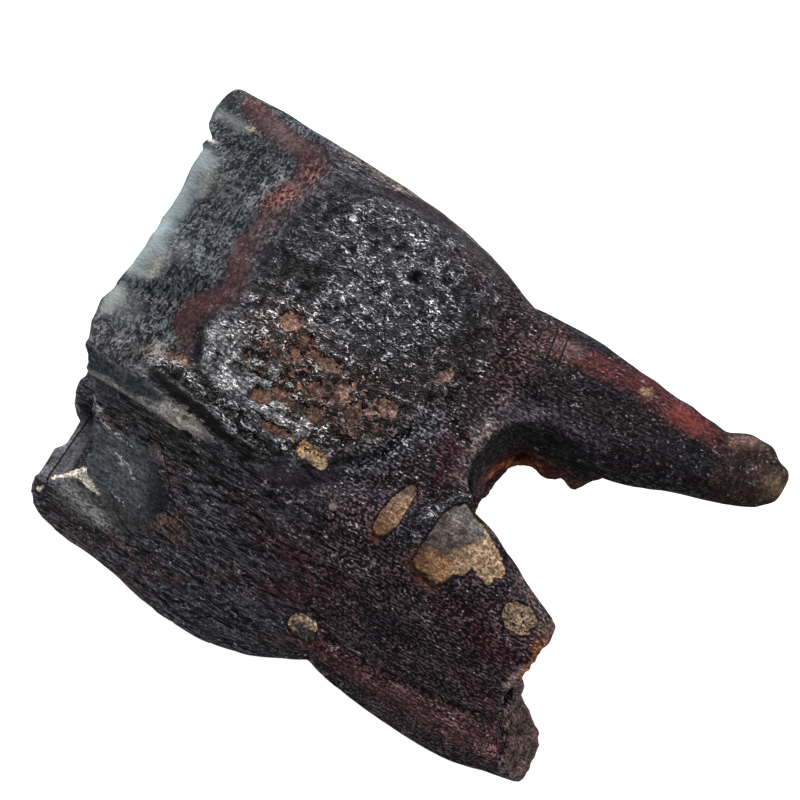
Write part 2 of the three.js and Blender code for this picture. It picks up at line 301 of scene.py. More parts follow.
# Long creases on the rear face, low swellings everywhere, and wrinkles running along the tooth.
creases = np.abs(lumps(3.2, 31, 2, (3.5, 1, 1)))
height -= ramp(creases, 0.14, 0) * rear * ramp(x, 6, 14) * ramp(x, 44, 34) * 0.35
height += lumps(7, 6, 2) * 0.14
height += lumps(1.8, 7, 2, (3, 1, 1)) * 0.10 * (1 - in_crust) * (0.4 + 0.6 * ramp(x, 4, 14))

# Sharp teeth of the lip, standing out over the gap between the roots.
teeth = np.interp(x, (52, 54, 57, 58.6, 59.8, 61.4, 62.6, 65, 67),
                  (0, 0.5, 0.2, 0.9, 1.3, -0.5, -1.2, -0.8, 0))
place[:, 1] -= teeth * ramp(y, 16, 17.5) * ramp(y, 22, 20.5) * ramp(z, 43, 40) * ramp(z, 28, 33)

# All the relief is laid on at once, and nothing leaves the box that the tooth was cut to.
place = place + way * height[:, None] - proud[:, None] * np.array((1, 0, 0))
place = np.clip(place, np.array(cad_low) * 1000 - corner, np.array(cad_high) * 1000 - corner)
way = outward(place)
crest = np.sum((place - settle(place, 6)) * way, axis=1)
x, y, z = place.T


def linear(colour):
    """A colour given from 0 to 255 as the linear values the material works in."""
    c = np.array(colour, float) / 255
    return np.where(c <= 0.04045, c / 12.92, ((c + 0.055) / 1.055) ** 2.4)


# The ground colour, the colour of the pale fine marks over it, which marks show, the roughness and the
# amount of painted glints. The pale marks are partly the tooth's own grain and partly painted highlights,
# standing for small bright reflections on its gloss.
stain = np.tile(linear((13, 12, 15)), (count, 1))
pale_mark_and_highlight = np.tile(linear((84, 80, 86)), (count, 1))
pattern = np.tile(np.array((0, 0, 0, 0.9)), (count, 1))
dull = np.full(count, 0.36)
painted_glint = np.full(count, 0.5)


def paint(amount, dark=None, light=None, marks=None, rough=None, painted_sparkle=None):
    """Lays a ground colour, its fine marks' colour and kind (partly painted highlights), the polish and
    painted glints.
    """
    a = np.clip(amount, 0, 1)
    for laid, new in ((stain, dark and linear(dark)), (pale_mark_and_highlight, light and linear(light)),
                      (pattern, marks), (dull, rough), (painted_glint, painted_sparkle)):
        if new is not None:
            laid += (np.array(new) - laid) * (a[:, None] if laid.ndim > 1 else a)


# Broad stain. The marks are, in order: short strokes, worm-like wrinkles, woven rows, fine lines.
paint(rear * ramp(x, 36, 26), (20, 19, 23), (104, 100, 109), (0, 0, 0, 1), 0.42, 0.6)
paint(rear * ramp(x, 36, 26) * ramp(broad, 0.1, 0.5), (26, 20, 23), (108, 94, 97))
paint(rear * blob([(23, -3, 41), (31, -4.7, 41)], 2.6), (16, 15, 19), (84, 80, 88))
roots = ramp(x + cloud, 31, 39)
paint(roots, (21, 14, 18), (83, 68, 76), (0, 0, 0.8, 0.25), 0.4, 0.7)
paint(roots * ramp(cloud + broad * 0.5, 0, 0.5), (11, 9, 12), (54, 46, 54), painted_sparkle=0.5)
paint(roots * ramp(cloud, -0.1, -0.6), (31, 18, 23), (104, 84, 90), rough=0.34, painted_sparkle=1)
for points, reach in (([(28.8, -6, 34.7), (36, -6.6, 34)], 4.5), ([(30, -8.4, 24), (37, -7.6, 28)], 3),
                         ([(56, -5.2, 38.8), (62, -5.7, 36)], 4), ([(59, -7.8, 27), (62, -7.5, 24)], 3)):
    paint(blob(points, reach) * ramp(cloud, -0.7, 0.2), (32, 10, 15), (92, 58, 66))
paint(blob([(35, -5.7, 37), (41, -5, 40)], 3) * roots, (26, 17, 21), (108, 90, 98), painted_sparkle=0.9)
front_edge = ramp(way[:, 1], 0.42, 0.62) * ramp(x, 46, 36) * ramp(z, 30, 44)
paint(front_edge, (40, 38, 38), (138, 132, 128), (0, 0, 0, 1), 0.42, 0.3)
paint(front_edge * blob([(20, 40, 48), (28, 39, 48)], 3), (62, 54, 52), (146, 132, 126))
paint(blob([(22.9, 38.6, 49), (27.5, 39, 48.4)], 1.4) * ramp(cloud, -0.6, 0.1), (62, 50, 48),
      (128, 108, 104), (0, 0, 0, 1), 0.42, 0.1)

# Enamel near the wear edge: dark blue-grey with pale strokes, milky where it is thin at the edge
# of each of its four lobes, and darkest in the flutes between them.
enamel = ramp(x, 12.5, 9.5) * cheek
paint(enamel, (18, 21, 27), (72, 78, 86), (1, 0, 0, 0), 0.36, 0.2)
for points, reach, dark, light, marks in (
        ([(-0.2, 30), (0.1, 26.8)], 1.4, (114, 116, 111), (142, 143, 138), 0.5),
        ([(1.8, 29.4), (2.2, 26.8)], 1.1, (56, 57, 57), (92, 92, 91), 0.8),
        ([(1.2, 34), (5.6, 33), (6.6, 30.6)], 2.3, (14, 15, 19), (54, 56, 64), 1),
        ([(5.1, 28), (5.2, 25.4)], 1.8, (30, 32, 37), (88, 91, 98), 1),
        ([(-1.5, 34.3), (0.5, 34.4), (2.7, 35.4), (6.5, 35.8)], 1, (20, 21, 25), (60, 62, 69), 1),
        ([(8.4, 32.6), (7.4, 30.2), (7.4, 28)], 1.3, (34, 35, 38), (118, 119, 121), 1),
        ([(-0.2, 21.4), (4, 21.6), (7, 22)], 1.3, (30, 32, 36), (90, 94, 99), 1),
        ([(2.4, 18), (3, 16.4)], 1.5, (76, 78, 82), (112, 115, 119), 0.6),
        ([(5.4, 18), (5.6, 15.8)], 1.8, (28, 32, 37), (92, 98, 103), 1),
        ([(8, 18.3), (8.3, 16.4)], 0.9, (44, 46, 46), (136, 140, 136), 1),
        ([(-0.6, 11), (1.8, 11.7), (5, 12.3), (7.6, 14.6)], 1.6, (5, 6, 8), (64, 66, 72), 1),
        ([(0.6, 9.8), (3, 10.2), (6.4, 10.6)], 0.9, (10, 10, 13), (100, 100, 103), 1),
        ([(0.9, 8), (1.6, 6.6)], 1.8, (68, 69, 73), (102, 103, 107), 0.7),
        ([(3.2, 5.4), (4.6, 6.8), (5.6, 7.4)], 1.6, (26, 29, 33), (104, 109, 112), 1),
        ([(-1.6, 30.4), (-2, 27.6), (-1.8, 25), (-1.2, 22.4)], 1.9,
         (112, 120, 124), (126, 134, 138), 0.15),
        ([(-1.2, 19.2), (-0.7, 16.4), (-1.2, 13.2)], 2, (120, 130, 134), (134, 143, 146), 0.15),
        ([(1.3, 15.6), (0.6, 13.4)], 1.2, (126, 127, 122), (158, 160, 156), 0.5),
        ([(-1.6, 9), (-1.5, 6.4)], 1.3, (112, 117, 115), (136, 141, 139), 0.2),
        ([(-3.4, 37.4), (-1.2, 37.2), (0.6, 37.1)], 1.1, (88, 92, 92), (112, 115, 115), 0.4),
        ([(-2.6, 35.4), (-0.5, 35.9), (1.4, 36.5)], 0.45, (34, 36, 38), (70, 72, 74), 1),
        ([(-3.6, 39.4), (-1.6, 41)], 1, (36, 36, 40), (62, 60, 64), 0.6),
        ([(1, 37.3), (1.9, 37.4)], 0.5, (60, 58, 46), (150, 142, 120), 1),
        ([(-2.6, 33.4), (-1.8, 33)], 0.35, (196, 193, 188), (214, 212, 208), 0)):
    points = [(px, py, 49.8) for px, py in points]
    mottle = ramp(blob(points, reach) + ragged * 0.2, 0.1, 0.85) * enamel
    paint(mottle, dark, light, (marks, 0, 0, 0), painted_sparkle=0.1)

# Chewing face: dark polished dentine inside thin loops of paler enamel.
worn = settle(chewing[:, None], 25)[:, 0]
chewing_face = chewing * ramp(way[:, 2], 0.5, 0.3)
paint(chewing_face, (26, 22, 22), (72, 64, 62), (0, 0, 0, 0.8), 0.34, 0.2)
paint(chewing_face * ramp(cloud, -0.1, 0.4), (42, 33, 29), (92, 76, 68))
loops = between(worn, 0.55, 0.78, 0.1) * ramp(ragged, -0.8, -0.3) * chewing_face
paint(loops, (104, 107, 106), (150, 152, 149), (0, 0, 0, 0.5), 0.3, 0)

# The smooth dark shoulder round the crust, and the zigzag red-brown line where the crust began.
shoulder = ramp(crust, -3.8, -2.2) * cheek
paint(shoulder, (40, 36, 40), (62, 57, 61), (0, 0.15, 0, 0.3), 0.5, 0.3)
band = line([(-0.3, 40.3, 49.9), (2.4, 39.3, 49.8), (5.6, 38.6, 49.7), (9.4, 37.9, 49.7),
             (11.6, 36.2, 49.9), (11.4, 33.3, 50.3), (10.6, 30.5, 50.7), (10.4, 27.9, 50.6),
             (10.4, 25.2, 50.5), (9.4, 22.2, 50.4), (10, 19.7, 50.7), (11.2, 17.8, 50.8),
             (12.2, 16.1, 50.7), (10.2, 13.6, 50.4), (8.2, 11.6, 50.1), (7.7, 9.5, 49.4), (9, 8.2, 48.8)])
band_shadow = ramp(band + cloud * 0.4, 3, 1.7) * ramp(x, 7, 10)
paint(band_shadow, (36, 30, 34), (62, 54, 58), (0.5, 0, 0, 0), 0.5, 0.1)
paint(ramp(band + ragged * 0.4, 1.9, 1) * cheek, (58, 38, 40), (86, 64, 66), (0.5, 0, 0, 0), 0.5, 0.15)
paint(blob([(2.4, 39.3, 49.8), (5.6, 38.5, 49.7), (7.4, 38.2, 49.7)], 1.1), (76, 60, 62),
      (112, 94, 95), painted_sparkle=0)
rusty = blob([(11.5, 36, 49.9), (11.3, 33.4, 50.3), (10.3, 30.6, 50.7), (9.4, 28.6, 50.7)], 1.2)
paint(rusty * 1.1 * ramp(cloud, -0.7, 0.1), (46, 26, 25), (122, 66, 48), (1, 0, 0, 0), 0.5, 0.2)
paint(blob([(10.8, 5.2, 47.9), (8.8, 4.7, 48.4), (5.4, 3.4, 49.2)], 0.9) * 1.4,
      (80, 56, 48), (150, 116, 104), (1, 0, 0, 0), 0.4, 0.3)
paint(blob([(6, 5.4, 48.5), (7.4, 6.4, 48.6)], 1.1), (40, 40, 42), (128, 130, 128), (1, 0, 0, 0), 0.34, 0.2)

# The crust: grey wrinkles over black, ashen at its rear corner, brown and red-brown in places. Its
# pale wrinkles are partly painted highlights: brighter towards the rear and the roots, in one spot
# near its root end, and brightest over the ashen corner.
paint(thinning, (46, 46, 51), (190, 190, 198), (0, 1, 0, 0), 0.26, 0.6)
paint(in_crust * ramp(broad + cloud * 0.5, 0.1, -0.4), (34, 34, 38), (164, 164, 172))
paint(in_crust * ramp(cloud, 0.25, 0.5), (62, 62, 68), (206, 206, 214))
paint(blob([(14, 25, 50.8), (15.5, 30.3, 50.7), (16.5, 36, 50)], 3.6) * 1.2, (32, 32, 36),
      (122, 121, 127), painted_sparkle=0.3)
paint(blob([(19.8, 28.2, 50.5), (25.6, 27, 50.8), (25.6, 31.4, 50.6)], 3.4) * in_crust,
      (54, 54, 59), (188, 188, 195))
paint(blob([(15.2, 19.4, 50.7), (16, 23.5, 50.8), (19.2, 21.5, 50.9)], 2.8), (22, 20, 23),
      (98, 93, 97), painted_sparkle=0.2)
# A spot of brighter painted highlights on the wrinkles.
paint(blob([(32.6, 24.6, 50.8), (37, 25.6, 50.7)], 2.4), (40, 40, 46), (218, 218, 226), painted_sparkle=1)
# Towards the rear and the roots: a darker ground with brighter pale wrinkles, partly painted highlights.
low_side = ramp(x - y * 0.9, 12, 22) * in_crust
paint(low_side, (22, 19, 23), (196, 192, 198), painted_sparkle=0.9)
# The ashen rear corner: grey ground, its pale wrinkles partly painted highlights at their brightest.
ashen_highlit_corner = blob([(13.5, 9, 49), (16.4, 6.4, 48.4), (20, 7.2, 49), (25.5, 5.6, 48)], 3)
paint(ashen_highlit_corner * ramp(crust, -1.6, 0.2) * 1.4, (108, 108, 114), (255, 255, 255), (0.2, 1, 0, 0), painted_sparkle=1)
warm = blob([(20, 13, 50), (27, 9, 50), (36, 10, 50)], 4.5) * in_crust
paint(warm * 1.2 * ramp(cloud, -0.8, -0.1), (50, 36, 33), (224, 208, 202), painted_sparkle=0.9)
paint(bell(pit, 1.2) * 1.4, (5, 5, 6), (70, 70, 74))
cobbles = ramp(blob([(22, 11.5, 50), (28, 9.5, 50), (34, 9.5, 50)], 5), 0.25, 0.7) * ramp(crust, 0.6, 1.8)
dark_end = blob([(37, 11, 50), (41, 16, 50), (42, 24, 50.8), (42, 30, 50)], 4.4)
paint(dark_end * thinning, (17, 12, 15), (108, 96, 101))

# Black glossy cement in the trench above the rib, blacker still beside the blade as painted shade,
# then the rib's blade of bare enamel: pale along its lower edge, slate in the middle, and pale all
# over towards its pointed end.
blade_top_y = np.interp(x, (-0.3, 1.6, 3.4, 8.2, 11, 13.7, 16.6, 19.5),
                        (0.8, 0.3, 0.1, 0, -0.4, -0.7, -1.1, -1.8))
blade_low_z = np.interp(x, (-1.3, 0.3, 4.1, 6.8, 11.6, 14.3, 17.1, 19.5),
                        (42.4, 43.2, 43.5, 43.6, 44.2, 44.6, 45.1, 45.7))
above = ramp(y - blade_top_y + ragged * 0.1, 0, 0.35) * cheek
black = above * ramp(crust, 0.6, -0.4) * ramp(x, 5.5, 8.5) * ramp(x, 27, 23) * ramp(y, 5.2, 3.8)
paint(above * ramp(y, 5, 3.5) * ramp(x, 8, 5), (30, 29, 32), (90, 88, 90), (1, 0, 0, 0), 0.36, 0.1)
paint(black, (9, 8, 10), (206, 204, 210), (0.1, 1, 0, 0), 0.34, 1)
# Painted shade: the trench is darkened further at its foot, beside the blade.
paint(black * ramp(y - blade_top_y, 2.7, 1.8), (3, 3, 4), (18, 16, 18), (0, 0, 0, 0.7), 0.65, 0)
pale_z = np.interp(x, (-0.4, 2.1, 4.6, 8.8, 10.4, 11.8, 13.2),
                   (46.2, 46.5, 46.7, 46.9, 47.4, 47.8, 50)) + ragged * 0.3
blade = np.minimum.reduce([blade_top_y - y, z - blade_low_z, (19.8 - x) * 0.4]) + ragged * 0.12
blade = np.where((z > 40) & (x < 21) & (y > -4), blade, -far)
under = ramp(z - blade_low_z, 0, -0.5) * ramp(z, 35, 38) * rear * ramp(x, 24, 18)
paint(under, (20, 19, 22), (76, 74, 79), (0, 0, 0, 1), 0.42, 0.4)
paint(under * ramp(x, 4.5, 2.5) * ramp(z, 38, 40), (48, 48, 54), (84, 84, 92), (0, 0, 0, 0.6), 0.42, 0.1)

# Rear face of the crown: a smooth slate patch, its torn pale upper edge and a few scratches.
slate = inside([(-2, 33.4), (1.9, 33.8), (4.5, 34.2), (6.1, 34.6), (7.8, 35.6), (9.4, 34.6), (10.8, 32.8),
                (12.2, 30.4), (13, 27.2), (11.8, 24), (10.4, 20.8), (8.6, 18.2), (6.6, 16.8), (4.8, 17.2),
                (3.4, 18.6), (2.2, 20.2), (1.2, 20.8), (-1, 21.4)], 0, 2) + ragged * 0.9 + cloud * 0.3
slate = np.where(way[:, 1] < 0, slate, -far)

# Cream chip and grey facet at the tongue corner, rusty spots, and a painted sheen along the lower edge.
corner_facet = inside([(-4.2, 19.2), (-2.3, 20.4), (0.2, 20.2), (2, 18.8),
                       (3.2, 16.4), (2.2, 13.6), (-0.4, 14.2), (-3.6, 15.2)], 0, 2)
paint(ramp(corner_facet, -0.6, 0.6) * rear, (78, 78, 79), (108, 108, 108), (0, 0, 0, 0.8), 0.4, 0)
paint(blob([(-2.2, -7.2, 17.8), (0.6, -7.7, 16.8), (3.2, -8, 16)], 1.5) * rear * 1.3,
      (134, 134, 132), (164, 164, 162))
paint(blob([(-5, -8.4, 14), (0.6, -9.2, 12.4), (4.4, -9.2, 12.6)], 1.8) * rear, (28, 24, 27), (70, 64, 68))
chip_line = line([(-6.6, -8, 15.2), (-5.4, -7, 17), (-4.4, -6.2, 18.4), (-3.2, -5.8, 19.5),
                  (-1.8, -5.5, 20.8), (-0.6, -5.6, 21.6), (0.3, -6.1, 21.2), (1.4, -6.4, 20.4)])
chip_half_width = np.interp(x, (-6.8, -4.4, -2.2, -0.6, 0.6, 1.6), (0.5, 0.3, 0.55, 0.8, 0.7, 0.35))
chip = chip_half_width - chip_line + ragged * 0.12
for points, reach in (([(9.6, -6.9, 20.4), (11.9, -6.6, 23.2), (15, -6.7, 25)], 1.6),
                         ([(13.5, -7.4, 21.6), (16, -7.2, 23.4)], 1.4),
                         ([(4.7, -8.3, 15.5), (8.3, -9.3, 13.5)], 0.8),
                         ([(10.4, -9.9, 12.6), (15.6, -9.8, 13.9)], 1)):
    rust = blob(points, reach) * 1.3 * ramp(ragged, -0.5, 0.3)
    paint(rust, (46, 31, 29), (120, 88, 77), (0.9, 0, 0, 0.3), 0.5, 0.4)
streak = blob([(9.9, -2.7, 36.8), (11, -3.4, 35.3), (13.2, -4, 34), (13.9, -4.7, 32.4)], 0.7)
paint(streak * ramp(ragged, -0.5, 0.1), (52, 38, 38), (132, 108, 106), (0.6, 0, 0, 0.4), 0.5, 0.6)
# Painted sheen: a paler band along the lower edge of the rear face.
painted_lower_sheen = blob([(9, -10.6, 10), (12, -10.7, 10.6), (16.6, -10.3, 12.1),
              (21.1, -9.8, 14.4), (27, -9.3, 18.6)], 1.3)
paint(painted_lower_sheen * 0.8, (38, 36, 42), (94, 90, 98), (0, 0, 0, 1), 0.34)
wall = ramp(way[:, 2], 0.3, 0.6) * ramp(x, -2.5, -4) * ramp(z, 24, 20)
paint(wall, (96, 95, 101), (122, 120, 126), (0, 0, 0, 0.5), 0.42, 0)
paint(wall * ramp(y, 1.6, 3.2), (46, 47, 51), (68, 68, 73))
paint(wall * between(y, -5.4, -3.9, 0.4) * ramp(x, -6, -6.6), (34, 35, 40), (56, 57, 62))

# Roots: the red-brown crest, the red roll with painted highlights, the lilac rim of the arch with
# painted shade inside it, the rusty torn edges.
front_root = ramp(x, 48, 52) * ramp(y, 13, 17)
paint(front_root, (10, 7, 10), (38, 31, 37), (0, 0, 0.5, 0.5), 0.42, 0.25)
paint(front_root * ramp(cloud, 0, 0.5), (8, 8, 12), (34, 32, 40))
red_crest = line([(48.9, 29.6, 50.2), (51.5, 28.8, 50.3), (56.5, 29.4, 50.2),
                  (62.2, 29.6, 50), (68, 28.8, 50), (74, 28, 49.7)])
paint(ramp(red_crest + cloud * 0.5, 2.7, 0.9), (56, 21, 24), (92, 48, 51), (0, 0, 0.3, 0.5), 0.34, 0.3)
paint(blob([(50.4, 29.2, 50.2), (53, 29.6, 50.3)], 1.1), (82, 62, 62), (112, 88, 88), rough=0.3)
paint(blob([(68.4, 28.5, 50), (70.8, 28, 50)], 1.1), (104, 44, 38), (128, 72, 66), (0, 0, 0, 0.4), 0.3, 0)
tan_spot = ramp(line([(63.3, 28.9, 50.2), (63.9, 29, 50.2)]) + ragged * 0.3, 1, 0.5)
paint(tan_spot, (92, 66, 50), (142, 108, 84), (0.7, 0, 0, 0), 0.4)
knuckle = blob([(47.6, 30.4, 50), (49.6, 25.2, 50)], 1.4)
paint(knuckle, (16, 9, 11), (62, 44, 48), (0, 0, 0.8, 0.4), 0.34, 0.7)
paint(blob([(52, 25, 50.3), (57, 24, 50.2), (63, 23.4, 50.2)], 2.4), (9, 6, 8), (38, 30, 35), painted_sparkle=0.3)
tip = ramp(x + cloud, 74.5, 77)
paint(tip, (27, 19, 19), (62, 48, 44), (0.4, 0.4, 0, 0), 0.5, 0.25)
paint(blob([(74.6, 29.6, 49.2), (75.6, 27.2, 49.8), (77.4, 24.6, 49.4)], 0.6), (22, 12, 13), (48, 32, 32))
for points, reach, dark, light, strokes_here in (
        ([(75.9, 28.5, 49.8), (77.2, 28.8, 49.8), (78.4, 29.6, 49.6)], 1,
         (84, 63, 58), (124, 100, 92), 0.6),
        ([(78.7, 27.3, 49.8), (79.4, 27.7, 49.8)], 1, (30, 23, 22), (64, 50, 47), 0.6),
        ([(77, 26, 49.5), (78.5, 25.6, 49.3), (80.4, 26.6, 49.6)], 0.8, (50, 37, 39), (88, 71, 72), 0.6),
        ([(82.6, 26, 48.8), (84.5, 27, 47)], 1.2, (98, 80, 62), (136, 116, 92), 0.4)):
    paint(blob(points, reach), dark, light, (strokes_here, 0.3, 0, 0), 0.5)
roll_red = ramp(roll + cloud, 4, 1.4) * ramp(z, 24, 18)
paint(roll_red, (42, 17, 21), (106, 64, 70), (0, 0, 0.5, 0.5), 0.34, 1)
# Painted highlights along the top of the red roll; below them the roll is a deeper red, and a brighter
# painted highlight runs along it towards the broken end.
paint(blob([(45, -9.4, 13.6), (52.7, -9.3, 15.5), (60, -9, 16.6)], 1.6), (66, 32, 35),
      (138, 98, 102), rough=0.3)
paint(blob([(54, -9.9, 11), (59, -9.7, 9.5), (62, -9.6, 9.4)], 2.2), (60, 24, 27), (132, 86, 88),
      (0, 0, 0.3, 0.7), 0.34, 1)
paint(blob([(57, -9.6, 14.4), (61, -9.6, 12.7), (63.4, -9, 10)], 1.2), (80, 42, 44),
      (158, 118, 120), painted_sparkle=1)
paint(blob([(42, -8.5, 17.4), (48, -8.6, 17.2)], 1.1), (42, 24, 28), (100, 72, 78), painted_sparkle=0.5)
rim = blob([(47, 7.6, 49.4), (47.4, 11.6, 49.9), (48.2, 15, 49.9)], 2)
paint(rim * 1.2, (54, 46, 47), (134, 119, 118), (0, 0, 0.3, 0.9), 0.4, 0.5)
front_rim = blob([(50.2, 18.4, 49.2), (53.2, 20.6, 48.8), (57.6, 21, 48.6), (62, 21.2, 48.4)], 1.2)
paint(front_rim, (38, 36, 41), (92, 87, 95), (0, 0, 0.2, 0.9), 0.42, 0.3)
# Painted shade: the inside walls of the arch between the roots are darkened.
shaded_arch_inside = ramp(way[:, 2], 0.45, 0.1) * ramp(x, 44, 47) * ramp(x, 66, 60) * ramp(y, 7, 10) * ramp(z, 34, 38)
paint(shaded_arch_inside, (16, 15, 18), (50, 46, 50), (0, 0, 0, 0.8), 0.4, 0.2)
neck = ramp(x, 38, 41) * ramp(x, 49, 46) * ramp(y, -1, 3) * cheek * (1 - in_crust)
paint(neck, (16, 11, 14), (66, 52, 58), (0, 0.3, 0.7, 0), 0.36, 0.8)
# Rows of bright beads beside the crust, partly painted highlights.
beaded = blob([(36, 2.6, 47.4), (38.5, 6, 49), (41, 9.6, 50), (42, 12, 50.4)], 1.9)
paint(beaded, (8, 8, 10), (116, 116, 124), (0, 0.4, 0.6, 0), 0.26, 1)
paint(blob([(46.4, 10.4, 50), (46.6, 7, 49.2)], 2) * (1 - in_crust), (30, 10, 17),
      (70, 40, 50), painted_sparkle=0.3)
paint(blob([(34.8, 34.8, 49.9), (37.5, 33, 50)], 1.6) * ramp(ragged, -0.6, 0.2),
      (52, 38, 40), (120, 96, 98))
paint(blob([(44, 28, 50), (47.5, 27, 50), (46.5, 23, 50)], 2.8) * (1 - in_crust * 0.5),
      (22, 12, 15), (80, 56, 60))
paint(bell(rope, 1.1), (10, 9, 12), (128, 126, 134), (0, 1, 0, 0), 0.26, 0.9)
paint(lip, (66, 42, 42), (116, 82, 78), (0, 0.5, 0, 0.3), 0.6, 0)
paint(lip * blob([(48.6, 10.6, 41), (49.2, 12.6, 39)], 1.8), (62, 54, 56),
      (98, 86, 89), (0, 0, 0, 0.8), 0.5)
rusty_lip = lip * blob([(49.2, 15, 37.5), (51.5, 18, 37), (54, 19.6, 36)], 1.5)
paint(rusty_lip * 1.2, (128, 68, 44), (180, 112, 78), (0.5, 0.4, 0, 0), 0.6)
rim_y = np.interp(z, (5, 8, 9.6, 11, 13, 20, 34), (-12, -7, -4.6, -3.2, -2.6, -4.2, -6.6))
paint(broken * ramp(y, rim_y - 0.3, rim_y + 0.3), (84, 68, 66), (142, 121, 115), (0, 0.3, 0, 0.5), 0.5, 0.3)
broken_rim = np.minimum(line([(65.9, -5.6, 36.2), (64.7, -6.7, 33.1), (63.9, -7.3, 29.7)]),
                        line([(62.8, -5.6, 21), (62.4, -3.8, 13.8), (63, -4.4, 11.4), (63.3, -5.2, 9.8)]))
paint(bell(broken_rim, 0.42) * 1.4, (128, 104, 100), (172, 148, 142), rough=0.4)
paint(stump, (70, 50, 40), (116, 92, 72), (0, 0.8, 0, 0), 0.65, 0)
rusty_end = blob([(66.4, -4.2, 39), (66, -5, 37), (65.4, -5.9, 35)], 1.6)
paint(ramp(way[:, 0], 0.2, 0.5) * rusty_end * 1.5, (120, 66, 38), (186, 134, 98), (0.5, 0.5, 0, 0), 0.5)
lifted = ramp(windows, -0.7, -0.3) * (between(x, 40.5, 43, 0.5) + between(x, 47, 51.5, 1))
paint(lifted * ramp(y, -1.5, -3), (50, 26, 22), (124, 84, 74), (0, 0, 0, 0.8), 0.36, 0.2)

# What the bare places show: tan where cement flaked off, brown in the crust, cream at its rear edge.
yellow = 1 - np.hypot((x - 30) / 2.5, (y - 2.4) / 0.9) + ragged * 0.6
yellow = np.where(z > 42, yellow, -far)
slate_edge = np.interp(x, (48.4, 51.8, 53.4, 54.8, 56.2), (-1.8, -1.2, 0.2, 3, 6)) + ragged * 0.35
on_slate, on_blade, on_yellow = ramp(slate, -0.8, -0.4), ramp(blade, -0.8, -0.4), ramp(yellow, -0.5, -0.1)
in_window = ramp(windows, -0.7, -0.4)
middle_window = between(x, 47.4, 60, 0.2) * in_window
in_grey = ramp(y - slate_edge, -0.25, 0.25) * middle_window
in_mottled = ramp(mottled, -0.3, 0) * ramp(y, -5, -6)
shown_tone = np.tile(linear((160, 120, 104)), (count, 1))
pitted = np.full(count, 0.5)
for amount, colour, pits in (
        (ramp(cloud, -0.3, 0.3), (106, 78, 69), 0.5),
        (ramp(x, 24, 28), (134, 106, 97), 0.5),
        (blob([(18.6, 16.2, 51), (20.6, 15, 51)], 1.2), (160, 126, 112), 0.2),
        (blob([(20.6, 5.6, 48), (24, 7.6, 48)], 1.4), (134, 102, 88), 0.3),
        (on_slate, (88, 94, 99), 0.1),
        (on_slate * ramp(x + cloud, 7, 12), (38, 40, 44), 0.1),
        (on_slate * blob([(4, -4.2, 29.6), (6.6, -4.6, 27.6), (5.6, -5.4, 25)], 2.2), (102, 108, 112), 0.1),
        (on_slate * ramp(z, 23, 21.5), (76, 74, 77), 0.1),
        (on_slate * ramp(z, 23, 21.5) * ramp(x, 4.5, 2), (96, 96, 97), 0.1),
        (on_blade, (58, 63, 68), 0.1),
        (on_blade * ramp(z - pale_z, 0.3, -0.2), (130, 131, 128), 0.1),
        (on_blade * ramp(x, 10, 12), (156, 152, 147), 0.1),
        (on_blade * ramp(x, 15, 18), (104, 102, 104), 0.1),
        (on_blade * ramp(y - blade_top_y, -0.45, -0.2) * ramp(x, 13, 10), (98, 98, 96), 0.1),
        (on_yellow, (196, 150, 110), 0.9),
        (on_yellow * ramp(ragged, 0, 0.3), (222, 196, 160), 0.3),
        (in_window, (136, 104, 80), 0.3),
        (blob([(42.8, 0.2, 47), (43.6, 3.4, 48)], 0.9) * in_window, (120, 104, 92), 0.2),
        (blob([(44.5, 0.6, 48), (44.2, -1.4, 47)], 0.8) * in_window, (164, 132, 106), 0.2),
        (blob([(41.9, -2.6, 45), (43.4, -2.8, 45)], 0.9) * in_window, (122, 90, 70), 0.4),
        (middle_window, (178, 148, 120), 0.45),
        (ramp(x + y * 0.6, 52.4, 50.6) * middle_window, (168, 128, 94), 0.4),
        (ramp(x + y * 0.8, 48.8, 47.2) * middle_window, (122, 90, 68), 0.4),
        (in_grey, (96, 85, 81), 0.1),
        (ramp(y - slate_edge, 0.8, -0.2) * in_grey, (98, 78, 72), 0.1),
        (ramp(y, 1.6, 3.4) * in_grey, (126, 119, 117), 0.1),
        (ramp(windows, 0.6, 0.2) * ramp(y, 3, 4) * ramp(x, 51, 53) * in_window, (164, 146, 124), 0.1),
        (np.exp(-(((x - 63) / 3) ** 2 + ((y + 3) / 3) ** 2)) * ramp(x, 60, 60.6), (172, 148, 124), 1),
        (in_mottled, (84, 79, 73), 1),
        (in_mottled * ramp(ragged + (z - 18) * 0.28, -0.1, 0.15), (212, 182, 152), 0.6),
        (ramp(grey_dot, -0.5, -0.1), (146, 132, 130), 0),
        (ramp(chip, -0.6, -0.3), (226, 218, 204), 0)):
    a = np.clip(amount, 0, 1)[:, None]
    shown_tone += (linear(colour) - shown_tone) * a
    pitted += (pits - pitted) * a[:, 0]
bare = np.maximum.reduce([windows, patches, yellow, chip, blade, slate])
# How dark the line round each bare place is: on the brown patches it is heaviest along their front side, as
# painted shadow under the torn edge.
rim_line_and_shadow = np.where(patches >= bare, 0.3 + 0.7 * ramp(patch_side, -0.3, 0.4), 0.8)
rim_line_and_shadow[(chip >= bare) | (yellow >= bare) | (grey_dot >= bare - 0.3)] = 0.1
rim_line_and_shadow[(blade >= bare) | (slate >= bare)] = 0.12

